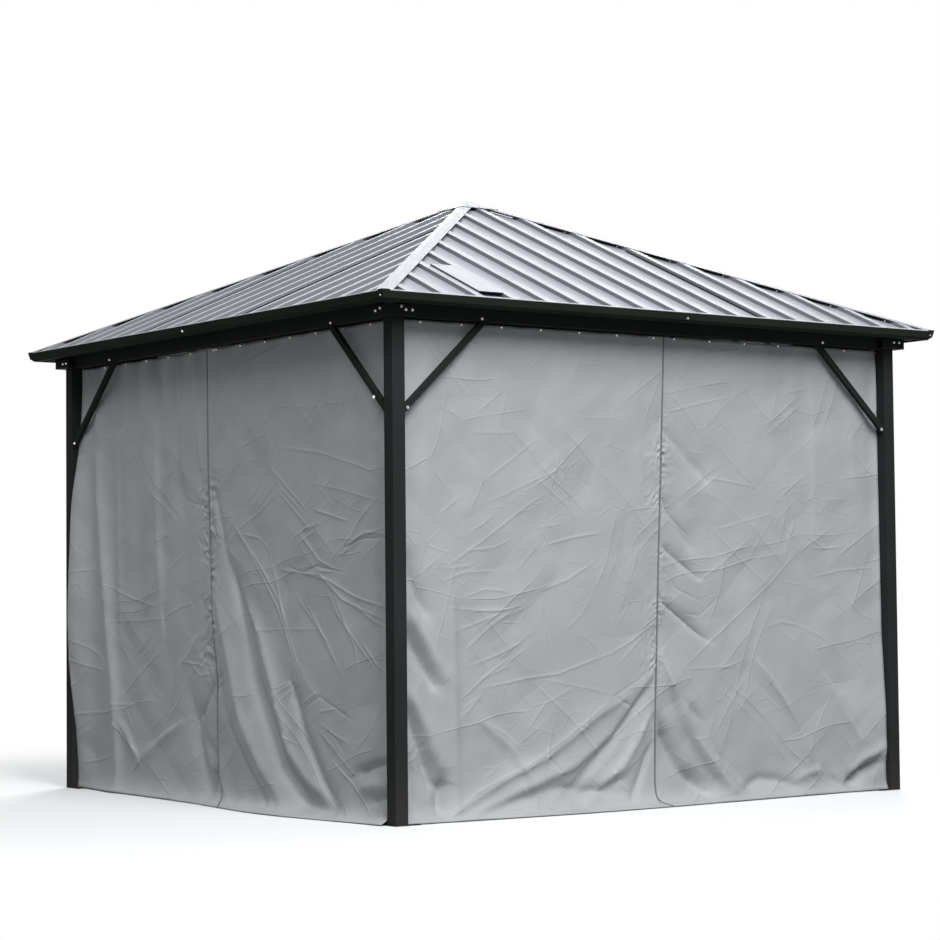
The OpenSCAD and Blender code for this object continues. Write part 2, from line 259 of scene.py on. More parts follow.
def crumpleHeight(tree, flat):
    wander = addNode(tree, "ShaderNodeTexNoise")
    wander.inputs["Scale"].default_value = 2.2
    wander.inputs["Detail"].default_value = 1.0
    tree.links.new(flat, wander.inputs["Vector"])
    warp = addNode(tree, "ShaderNodeVectorMath", operation="MULTIPLY_ADD")
    tree.links.new(wander.outputs["Color"], warp.inputs[0])
    warp.inputs[1].default_value = (0.12, 0.12, 0.0)
    tree.links.new(flat, warp.inputs[2])
    total = None
    for i, (heading, often, slope) in enumerate(clothFinish["creases"]):
        angle = math.radians(heading)
        along = addNode(tree, "ShaderNodeVectorMath", operation="DOT_PRODUCT")
        tree.links.new(warp.outputs["Vector"], along.inputs[0])
        along.inputs[1].default_value = (math.sin(angle), math.cos(angle), 0.0)
        lines = addNode(tree, "ShaderNodeTexVoronoi", voronoi_dimensions="1D")
        lines.inputs["Scale"].default_value = often
        tree.links.new(along.outputs["Value"], lines.inputs["W"])
        tent = lines.outputs["Distance"]
        patch = noiseOf(tree, shiftedBy(tree, flat, (3.7 * i + 1.3, 1.9 * i, 0.0)), 2.6, 1.0)
        facet = mathOf(tree, "MULTIPLY", mathOf(tree, "SUBTRACT", 0.25, tent),
                       rangeOf(tree, patch, 0.42, 0.62, 0.0, slope / often))
        pinch = rangeOf(tree, tent, 0.0, clothFinish["pinchWidth"] * often, clothFinish["pinchHeight"], 0.0)
        pinch = mathOf(tree, "MULTIPLY", pinch, rangeOf(tree, patch, 0.51, 0.61, 0.0, 1.0))
        part = mathOf(tree, "ADD", facet, pinch)
        total = part if total is None else mathOf(tree, "ADD", total, part)
    for often, width, height, low, high in clothFinish["crumples"]:
        cells = addNode(tree, "ShaderNodeTexVoronoi", voronoi_dimensions="2D", feature="DISTANCE_TO_EDGE")
        cells.inputs["Scale"].default_value = often
        tree.links.new(warp.outputs["Vector"], cells.inputs["Vector"])
        patch = noiseOf(tree, shiftedBy(tree, flat, (often, 0.7 * often, 0.0)), 3.0, 1.0)
        line = rangeOf(tree, cells.outputs["Distance"], 0.0, width * often, height, 0.0)
        line = mathOf(tree, "MULTIPLY", line, rangeOf(tree, patch, low, high, 0.0, 1.0))
        total = mathOf(tree, "ADD", total, line)
    return total


def clothMaterial():
    mat, tree, shader = newMaterial("greyCurtainCloth")
    flat = addNode(tree, "ShaderNodeUVMap", uv_map="flat").outputs["UV"]  # metres across and down the cut
    tone = toneOf(tree, noiseOf(tree, flat, 3.5, 5.0), clothFinish, 0.3, 0.72)
    down = addNode(tree, "ShaderNodeSeparateXYZ")
    tree.links.new(flat, down.inputs["Vector"])
    soil = mathOf(tree, "MULTIPLY", rangeOf(tree, down.outputs["Y"], 1.95, 2.25, 0.0, 0.3),
                  noiseOf(tree, flat, 18.0, 6.0, 0.6))
    tree.links.new(mixOf(tree, soil, tone, clothFinish["soil"]), shader.inputs["Base Color"])
    shader.inputs["Roughness"].default_value = clothFinish["rough"]
    shader.inputs["Specular IOR Level"].default_value = 0.3
    shader.inputs["Sheen Weight"].default_value = 0.08
    shader.inputs["Sheen Roughness"].default_value = 0.4
    hemFrom, hemTo = clothFinish["hemFrom"], clothFinish["hemFrom"] + clothFinish["hemStep"]
    hem = rangeOf(tree, down.outputs["Y"], hemFrom, hemTo, 0.0, clothFinish["hemRise"])
    creases = bumpOf(tree, shader, mathOf(tree, "ADD", crumpleHeight(tree, flat), hem), 1.0, 1.0)
    grain = bumpOf(tree, shader, noiseOf(tree, flat, 34.0, 2.0, 0.6), 0.20, 0.005, creases)
    threads = []
    for axis in ("X", "Y"):
        wave = addNode(tree, "ShaderNodeTexWave", bands_direction=axis)
        wave.inputs["Scale"].default_value = clothFinish["weave"]
        tree.links.new(flat, wave.inputs["Vector"])
        threads.append(wave.outputs["Fac"])
    bumpOf(tree, shader, mathOf(tree, "MAXIMUM", *threads), 0.06, 0.0005, grain)
    return mat


tapeFinish = dict(dark=(0.12, 0.126, 0.13), light=(0.18, 0.186, 0.19), rough=0.7)


def tapeMaterial():
    mat, tree, shader = newMaterial("zipTape")
    coords = objectCoords(tree)
    tree.links.new(toneOf(tree, noiseOf(tree, coords, 120.0), tapeFinish), shader.inputs["Base Color"])
    shader.inputs["Roughness"].default_value = tapeFinish["rough"]
    bumpOf(tree, shader, noiseOf(tree, coords, 600.0, 1.0), 0.3, 0.0008)
    return mat


roofSteel = roofMaterial()
zincSteel = zincMaterial()
curtainCloth = clothMaterial()
zipTape = tapeMaterial()

nodeFinish = {
    "roof_": roofSteel, "hip_cap": roofSteel, "top_cap": roofSteel,
    "fascia": fasciaCoat, "eave_corner": fasciaCoat, "crown": zincSteel}
for name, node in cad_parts.items():
    finish = frameCoat
    for start, mat in nodeFinish.items():
        if name.startswith(start):
            finish = mat
    for slot in node.material_slots:
        slot.material = finish
print("finishes set")


# Camera and studio

viewpoint = dict(place=(-7.10075, -9.7161, 0.90756), yaw=36.163, pitch=2.806, roll=-0.539,
                 focalPixels=2549.6, imagePixels=940)


def makeCamera():
    yaw, pitch, roll = (math.radians(viewpoint[k]) for k in ("yaw", "pitch", "roll"))
    ahead = Vector((math.sin(yaw) * math.cos(pitch), math.cos(yaw) * math.cos(pitch), math.sin(pitch)))
    right = Vector((math.cos(yaw), -math.sin(yaw), 0.0))
    up = right.cross(ahead)
    across = math.cos(roll) * right + math.sin(roll) * up
    above = math.cos(roll) * up - math.sin(roll) * right
    data = bpy.data.cameras.new("photoCamera")
    data.sensor_width = 36.0
    data.lens = viewpoint["focalPixels"] / viewpoint["imagePixels"] * data.sensor_width
    data.clip_end = 200.0
    camera = bpy.data.objects.new("photoCamera", data)
    camera.matrix_world = Matrix((
        (across.x, above.x, -ahead.x, viewpoint["place"][0]),
        (across.y, above.y, -ahead.y, viewpoint["place"][1]),
        (across.z, above.z, -ahead.z, viewpoint["place"][2]),
        (0.0, 0.0, 0.0, 1.0)))
    scene.collection.objects.link(camera)
    scene.camera = camera


studio = dict(
    ambient=0.18, floorHalf=30.0, floorDrop=0.0006, floorColour=(0.86, 0.87, 0.88),
    bounceColour=(0.19, 0.195, 0.20), fadeFrom=2.6, fadeTo=4.6,
    lamps=(  # name, place, size, power, height aimed at
        ("keyLamp", (-2.5, -9.6, 10.0), (5.0, 7.0), 1620.0, 1.2),
        ("sideLamp", (-7.5, -4.0, 10.5), (5.0, 4.0), 450.0, 1.2),
        ("backLamp", (8.1, 9.0, 9.2), (10.0, 7.0), 360.0, 2.2),
        ("fillLamp", (7.0, 7.5, 5.5), (5.0, 5.0), 700.0, 1.0)))


def addLamp(name, place, size, power, aim):
    data = bpy.data.lights.new(name, "AREA")
    data.energy = power
    data.shape = "RECTANGLE"
    data.size, data.size_y = size
    lamp = bpy.data.objects.new(name, data)
    lamp.location = place
    lamp.rotation_euler = (Vector((0, 0, aim)) - Vector(place)).to_track_quat("-Z", "Y").to_euler()
    lamp.visible_camera = False
    scene.collection.objects.link(lamp)


def seenRays(tree):
    path = addNode(tree, "ShaderNodeLightPath")
    seen = mathOf(tree, "MAXIMUM", path.outputs["Is Camera Ray"], path.outputs["Is Glossy Ray"])
    return mathOf(tree, "MAXIMUM", seen, path.outputs["Is Transmission Ray"])


def makeStudio():
    world = bpy.data.worlds.new("paleStudio")
    world.use_nodes = True
    scene.world = world
    tree = world.node_tree
    light = tree.nodes["Background"]
    light.inputs["Color"].default_value = (0.97, 0.985, 1.0, 1.0)
    light.inputs["Strength"].default_value = studio["ambient"]
    shown = addNode(tree, "ShaderNodeBackground")
    shown.inputs["Color"].default_value = (1.0, 1.0, 1.0, 1.0)
    both = addNode(tree, "ShaderNodeMixShader")
    tree.links.new(seenRays(tree), both.inputs["Fac"])
    tree.links.new(light.outputs["Background"], both.inputs[1])
    tree.links.new(shown.outputs["Background"], both.inputs[2])
    tree.links.new(both.outputs["Shader"], tree.nodes["World Output"].inputs["Surface"])
    for lamp in studio["lamps"]:
        addLamp(*lamp)

    bm = bmesh.new()
    bmesh.ops.create_grid(bm, x_segments=1, y_segments=1, size=studio["floorHalf"])
    bmesh.ops.translate(bm, verts=bm.verts, vec=(0.0, 0.0, -studio["floorDrop"]))
    mesh = bpy.data.meshes.new("paleFloor")
    bm.to_mesh(mesh)
    bm.free()
    mat, tree, shader = newMaterial("paleFloor")
    coords = objectCoords(tree)
    light = studio["floorColour"]
    dark = tuple(c * 0.985 for c in light)
    pale = toneOf(tree, noiseOf(tree, coords, 30.0, 4.0), dict(dark=dark, light=light))
    colour = mixOf(tree, seenRays(tree), studio["bounceColour"], pale)
    tree.links.new(colour, shader.inputs["Base Color"])
    shader.inputs["Roughness"].default_value = 0.9
    distance = addNode(tree, "ShaderNodeVectorMath", operation="LENGTH")
    tree.links.new(coords, distance.inputs[0])
    away = rangeOf(tree, distance.outputs["Value"], studio["fadeFrom"], studio["fadeTo"], 0.0, 1.0)
    white = addNode(tree, "ShaderNodeEmission")
    both = addNode(tree, "ShaderNodeMixShader")
    tree.links.new(mathOf(tree, "MULTIPLY", away, seenRays(tree)), both.inputs["Fac"])
    tree.links.new(shader.outputs["BSDF"], both.inputs[1])
    tree.links.new(white.outputs["Emission"], both.inputs[2])
    tree.links.new(both.outputs["Shader"], tree.nodes["Material Output"].inputs["Surface"])
    floor = bpy.data.objects.new("paleFloor", mesh)
    mesh.materials.append(mat)
    scene.collection.objects.link(floor)


makeCamera()
makeStudio()
print("camera and studio made")


# Curtains: one simulated sheet a side, cut in two along the zip

sheetCut = dict(
    reach=1.336, topZ=2.014, bend=0.06, lean=0.012, hookPitch=0.2043, hooks=7,
    hookZ=2.0065, hemRun=0.08, slack=1.03,  # share of width to spare in the flat cut
    columns=100, rows=84, frames=40, calm=8, thickness=0.0022, gap=0.0004,
    floorClear=0.0026, braceFrom=(0.9, 1.6), braceClear=0.004,
    cells={"front": (100, 150), "left": (100, 150), "back": (70, 105), "right": (70, 105)},
    refine=((0.012, 0.090), (0.006, 0.015)))  # reach from a crease, reach from the zip
sheetKinds = {
    "front": dict(  # and the back
        turns=("front", "back"), firstHooks=(-1.228, 0.114), seed=5, gain=1.25,
        zip=((0.0, -0.047), (2.01, 0.059)),  # height, place along the side
        fullness=lambda x: 0.0030 + 0.0012 * np.cos(7.1 * x + 0.6),
        spread=lambda x: 0.030 + 0.050 * np.exp(-(((x + 0.25) / 0.85) ** 2))),
    "left": dict(  # and the right
        turns=("left", "right"), firstHooks=(-1.300, -0.050), seed=11, gain=1.7,
        zip=((0.0, 0.10), (0.2, -0.01), (0.4, -0.025), (0.58, -0.035), (0.71, -0.062), (0.85, -0.09),
             (1.47, -0.130), (2.01, -0.143)),
        fullness=lambda x: 0.0035 + 0.0055 / (1.0 + np.exp((x + 0.20) / 0.10)),
        spread=lambda x: (0.014 + 0.031 * np.clip((x + 1.34) / 0.3, 0, 1)
                          + 0.095 * np.exp(-(((x - 0.45) / 0.75) ** 2))))}


def hookPlaces(kind):
    steps = [sheetCut["hookPitch"] * i for i in range(sheetCut["hooks"])]
    return [first + step for first in kind["firstHooks"] for step in steps]


def ripple(u, v, seed, waves, shortest, longest):
    rng = random.Random(seed)
    total = np.zeros_like(u)
    for _ in range(waves):
        heading = rng.uniform(0.0, math.pi)
        length = rng.uniform(shortest, longest)
        phase = rng.uniform(0.0, 2 * math.pi)
        total += np.cos(2 * math.pi * (u * math.cos(heading) + v * math.sin(heading)) / length + phase)
    return total / math.sqrt(waves)


def zipColumn(kind):
    return round((0.5 + kind["zip"][-1][1] / (2 * sheetCut["reach"])) * sheetCut["columns"])


def startingPlace(across, down, kind):
    cut = sheetCut
    x = -cut["reach"] + 2 * cut["reach"] * across
    spread = kind["spread"](x)
    bend = np.minimum(cut["bend"], 0.8 * spread)
    drop = cut["topZ"] - bend
    s = down * (drop + bend * math.pi / 2 + spread - bend)
    turn = np.clip((s - drop) / bend, 0.0, math.pi / 2)
    run = np.maximum(s - drop - bend * math.pi / 2, 0.0)
    lift = 0.006 * (1 - np.clip(1 - down * 4, 0, 1))  # clear of the ground when the simulation starts
    z = np.where(s < drop, cut["topZ"] - s, bend * (1.0 - np.sin(turn))) + lift
    out = bend * (1.0 - np.cos(turn)) + run
    pleat = np.cos(2 * math.pi * (x - kind["firstHooks"][0]) / cut["hookPitch"])
    pleat = (pleat - 1.0) * np.clip(1.25 - 1.5 * down, 0.1, 1.0)  # the pleats die out downwards
    out = out + kind["fullness"](x) * pleat + cut["lean"] * np.clip(down, 0.0, 0.9) ** 2
    out = out + 0.0010 * ripple(x, s, kind["seed"], 9, 0.25, 0.8) * np.clip(down * 3, 0.0, 1.0)
    return np.stack([x, -(slotOut + out), z], axis=-1)


def addCollider(name, low, high):
    bm = bmesh.new()
    bmesh.ops.create_cube(bm, size=1.0)
    bmesh.ops.scale(bm, verts=bm.verts, vec=Vector(high) - Vector(low))
    bmesh.ops.translate(bm, verts=bm.verts, vec=(Vector(high) + Vector(low)) / 2)
    mesh = bpy.data.meshes.new(name)
    bm.to_mesh(mesh)
    bm.free()
    body = bpy.data.objects.new(name, mesh)
    scene.collection.objects.link(body)
    body.modifiers.new("collide", "COLLISION")
    body.collision.thickness_outer = 0.004
    body.collision.cloth_friction = 25.0
    return body


clothFeel = dict(
    quality=6, mass=0.05, tension_stiffness=40.0, compression_stiffness=40.0, shear_stiffness=12.0,
    bending_stiffness=0.3, tension_damping=10.0, compression_damping=10.0, shear_damping=10.0,
    bending_damping=0.8, air_damping=1.5, vertex_group_mass="held", pin_stiffness=1.0)


def simulateSheet(label, kind):
    cut = sheetCut
    bm = bmesh.new()
    bmesh.ops.create_grid(bm, x_segments=cut["columns"], y_segments=cut["rows"], size=0.5)
    mesh = bpy.data.meshes.new("sheet" + label)
    bm.to_mesh(mesh)
    bm.free()
    plan = np.zeros(len(mesh.vertices) * 3)
    mesh.vertices.foreach_get("co", plan)
    plan = plan.reshape(-1, 3)
    across, down = plan[:, 0] + 0.5, 0.5 - plan[:, 1]
    order = np.lexsort((np.round(across * cut["columns"]), np.round(down * cut["rows"])))
    start = startingPlace(across, down, kind)
    mesh.vertices.foreach_set("co", start.reshape(-1))
    mesh.update()
    sheet = bpy.data.objects.new("sheet" + label, mesh)
    scene.collection.objects.link(sheet)
    held = sheet.vertex_groups.new(name="held")
    for i in range(len(start)):
        if down[i] < 0.5 / cut["rows"]:
            held.add([i], 1.0, "REPLACE")  # the header tape on its hooks
        elif abs(start[i, 0]) > cut["reach"] - 0.001:
            held.add([i], 0.2, "REPLACE")  # ties beside the posts

    hang = sheet.modifiers.new("hang", "CLOTH")
    for key, value in clothFeel.items():
        setattr(hang.settings, key, value)
    hang.collision_settings.distance_min = 0.004
    hang.collision_settings.collision_quality = 2
    hang.collision_settings.use_self_collision = False
    hang.point_cache.frame_start = 1
    hang.point_cache.frame_end = cut["frames"]
    for step in range(1, cut["frames"] + 1):
        scene.frame_set(step)
    settled = sheet.evaluated_get(bpy.context.evaluated_depsgraph_get())
    final = np.zeros(len(mesh.vertices) * 3)
    settled.data.vertices.foreach_get("co", final)
    bpy.data.objects.remove(sheet)
    scene.frame_set(1)
    grid = final.reshape(-1, 3)[order].reshape(cut["rows"] + 1, cut["columns"] + 1, 3)
    print("sheet simulated:", label, round(time.time() - began, 1))
    return straightened(pressed(calmed(grid)), kind)


def calmed(grid):
    for _ in range(sheetCut["calm"]):  # keeps the long folds and drops the small lumps
        padded = np.pad(grid, ((1, 1), (0, 0), (0, 0)), mode="edge")
        calm = (padded[:-2] + 2 * grid + padded[2:]) / 4
        calm[0], calm[-1] = grid[0], grid[-1]
        grid = calm
    padded = np.pad(grid, ((0, 0), (1, 1), (0, 0)), mode="edge")
    calm = (padded[:, :-2] + 2 * grid + padded[:, 2:]) / 4
    calm[:, 0], calm[:, -1], calm[0] = grid[:, 0], grid[:, -1], grid[0]
    return calm


def pressed(grid):
    share = np.clip((np.linspace(0.0, 1.0, grid.shape[0]) - 0.55) / 0.45, 0.0, 1.0)[:, None] ** 2
    lift = np.maximum(grid[-1, :, 2] - 0.0035, 0.0)[None, :]
    grid[:, :, 2] -= lift * share  # the hem lies on the ground all along
    return grid


def straightened(grid, kind):
    cut = sheetCut
    middle = zipColumn(kind)
    columns = np.arange(cut["columns"] + 1)
    heights, places = zip(*kind["zip"])
    for row in range(cut["rows"] + 1):
        closing = np.interp(cut["topZ"] * (1 - row / cut["rows"]), heights, places)
        wanted = (-cut["reach"], closing, cut["reach"])
        knots = (0, middle, cut["columns"])
        shift = [goal - grid[row, knot, 0] for goal, knot in zip(wanted, knots)]
        grid[row, :, 0] += np.interp(columns, knots, shift)
    return grid


def splineWeights(t):
    return (0.5 * (-t + 2 * t**2 - t**3), 0.5 * (2 - 5 * t**2 + 3 * t**3),
            0.5 * (t + 4 * t**2 - 3 * t**3), 0.5 * (t**3 - t**2))


def sampleSheet(grid, down, across):
    rows, cols = grid.shape[0] - 1, grid.shape[1] - 1
    r, c = np.clip(down, 0, 1) * rows, np.clip(across, 0, 1) * cols
    r0 = np.clip(r.astype(int), 0, rows - 1)
    c0 = np.clip(c.astype(int), 0, cols - 1)
    rowShare, colShare = splineWeights(r - r0), splineWeights(c - c0)
    place = 0.0
    for i in range(4):
        ri = np.clip(r0 + i - 1, 0, rows)
        for j in range(4):
            cj = np.clip(c0 + j - 1, 0, cols)
            place = place + grid[ri, cj] * (rowShare[i] * colShare[j])[..., None]
    return place


swells = {  # centre (along, height), radii, how far out
    "front": [((1.33, 0.95), (0.14, 0.75), 0.006), ((1.30, 0.30), (0.16, 0.30), 0.022)],
    "left": [((-1.336, 0.85), (0.17, 0.55), 0.075), ((-1.336, 1.38), (0.10, 0.24), 0.025),
             ((0.25, 0.30), (0.35, 0.35), 0.020)]}


def sheetPlace(grid, down, across, label):
    place = sampleSheet(grid, down, across)
    for (cx, cz), (rx, rz), size in swells[label]:
        place[:, 1] -= size * np.exp(-(((place[:, 0] - cx) / rx) ** 2) - ((place[:, 2] - cz) / rz) ** 2)
    return place


# Folds drawn where the photo shows them, in millimetres: depth, widths on the right and left of a fold
# drawn downwards, then points along the side and up
drawnFolds = {
    "front": [
        (14, 16, 50, -1080, 920, -1075, 500, -1070, 60), (-34, 26, 20, -1335, 1100, -1280, 970, -1220, 840),
        (-46, 28, 20, -1335, 790, -1240, 660, -1180, 550), (26, 30, 22, -1300, 860, -1220, 730, -1140, 580),
        (-46, 28, 20, -1335, 500, -1250, 310, -1200, 160), (26, 28, 20, -1300, 540, -1220, 380, -1160, 220),
        (-18, 14, 14, -1310, 290, -1280, 50), (-46, 34, 34, -1140, 170, -1155, 40),
        (-26, 22, 50, -30, 520, -280, 270, -500, 80), (24, 40, 20, -50, 400, -220, 180, -420, 50),
        (-18, 12, 22, -50, 270, -120, 120, -180, 30),
        (13, 12, 34, -150, 480, -330, 400, -600, 240, -850, 145, -1066, 40),
        (18, 12, 40, -30, 570, -260, 320, -470, 190, -760, 100, -1000, 20),
        (-26, 24, 24, -200, 130, -340, 90, -460, 70), (-16, 20, 20, -820, 60, -550, 110, -230, 70),
        (12, 30, 14, -960, 400, -800, 280, -680, 100), (-19, 30, 16, 30, 1640, 170, 1500, 290, 1400),
        (-19, 30, 14, 30, 1320, 130, 1180, 190, 1100), (-18, 26, 12, 30, 1120, 130, 1040, 240, 970),
        (-22, 24, 10, 20, 880, 150, 790, 280, 700), (36, 40, 20, 15, 650, 80, 470, 190, 270, 390, 40),
        (-52, 30, 34, 0, 360, 50, 250, 120, 150, 240, 50),
        (-22, 18, 30, 140, 450, 250, 350, 320, 210, 430, 90), (20, 14, 30, 250, 380, 340, 180, 465, 60),
        (17, 14, 34, 580, 600, 760, 390, 900, 120), (14, 14, 34, 990, 520, 1190, 230),
        (16, 18, 18, 780, 60, 860, 100, 950, 110, 1030, 80, 1090, 20),
        (-52, 22, 26, 1100, 30, 1200, 100, 1290, 130), (-20, 18, 22, 460, 50, 570, 90, 680, 80, 780, 50),
        (-18, 12, 30, 950, 130, 1020, 80, 1080, 30), (12, 14, 34, 1050, 500, 1170, 340, 1270, 180),
        (22, 22, 22, 1120, 70, 1210, 150, 1310, 190), (7, 45, 40, 930, 1980, 940, 1550, 930, 1150),
        (5, 50, 40, 1170, 1980, 1180, 1350), (7, 30, 40, -100, 1980, -100, 1700, -80, 1350),
        (5, 50, 50, -520, 1980, -500, 1250), (6, 50, 40, -1200, 1980, -1200, 1300)],
    "left": [
        (36, 34, 95, -1165, 2000, -1110, 1380, -1030, 750, -980, 450, -945, 20),
        (14, 36, 50, -1005, 2000, -970, 1300, -934, 710), (9, 60, 30, -820, 2000, -800, 1500),
        (24, 34, 120, -618, 2000, -590, 1450, -551, 900), (13, 60, 16, -404, 2000, -379, 1710, -360, 1450),
        (12, 45, 16, -241, 2000, -217, 1700, -200, 1500), (5, 50, 40, 20, 2000, 40, 1550),
        (5, 60, 50, 620, 2000, 600, 1600),
        (34, 80, 70, -60, 920, 90, 650, 180, 430, 280, 300, 390, 180, 560, 30),
        (-20, 14, 16, -40, 650, 30, 430, 140, 300, 250, 180, 440, 20),
        (-40, 50, 22, 90, 990, 210, 760, 290, 540, 430, 350, 530, 190, 710, 60, 950, 10),
        (24, 30, 36, 140, 950, 320, 760, 430, 550, 560, 270, 710, 140, 910, 50),
        (-26, 30, 20, 570, 550, 670, 340, 800, 160, 930, 30),
        (-20, 30, 30, -60, 540, -200, 380, -160, 280, -50, 210),
        (-30, 42, 55, -280, 480, -220, 260, -90, 40), (13, 12, 34, -950, 345, -770, 169),
        (14, 14, 36, -750, 163, -550, 262, -365, 344), (11, 14, 30, -450, 457, -380, 595, -185, 753),
        (-34, 34, 34, -50, 150, -75, 50), (-14, 34, 18, -110, 1450, 30, 1070, 180, 830),
        (-30, 12, 34, 1060, 190, 1180, 230, 1330, 255), (22, 30, 30, 1100, 130, 1200, 150, 1330, 160),
        (-22, 12, 18, 1180, 85, 1250, 100, 1330, 120)]}

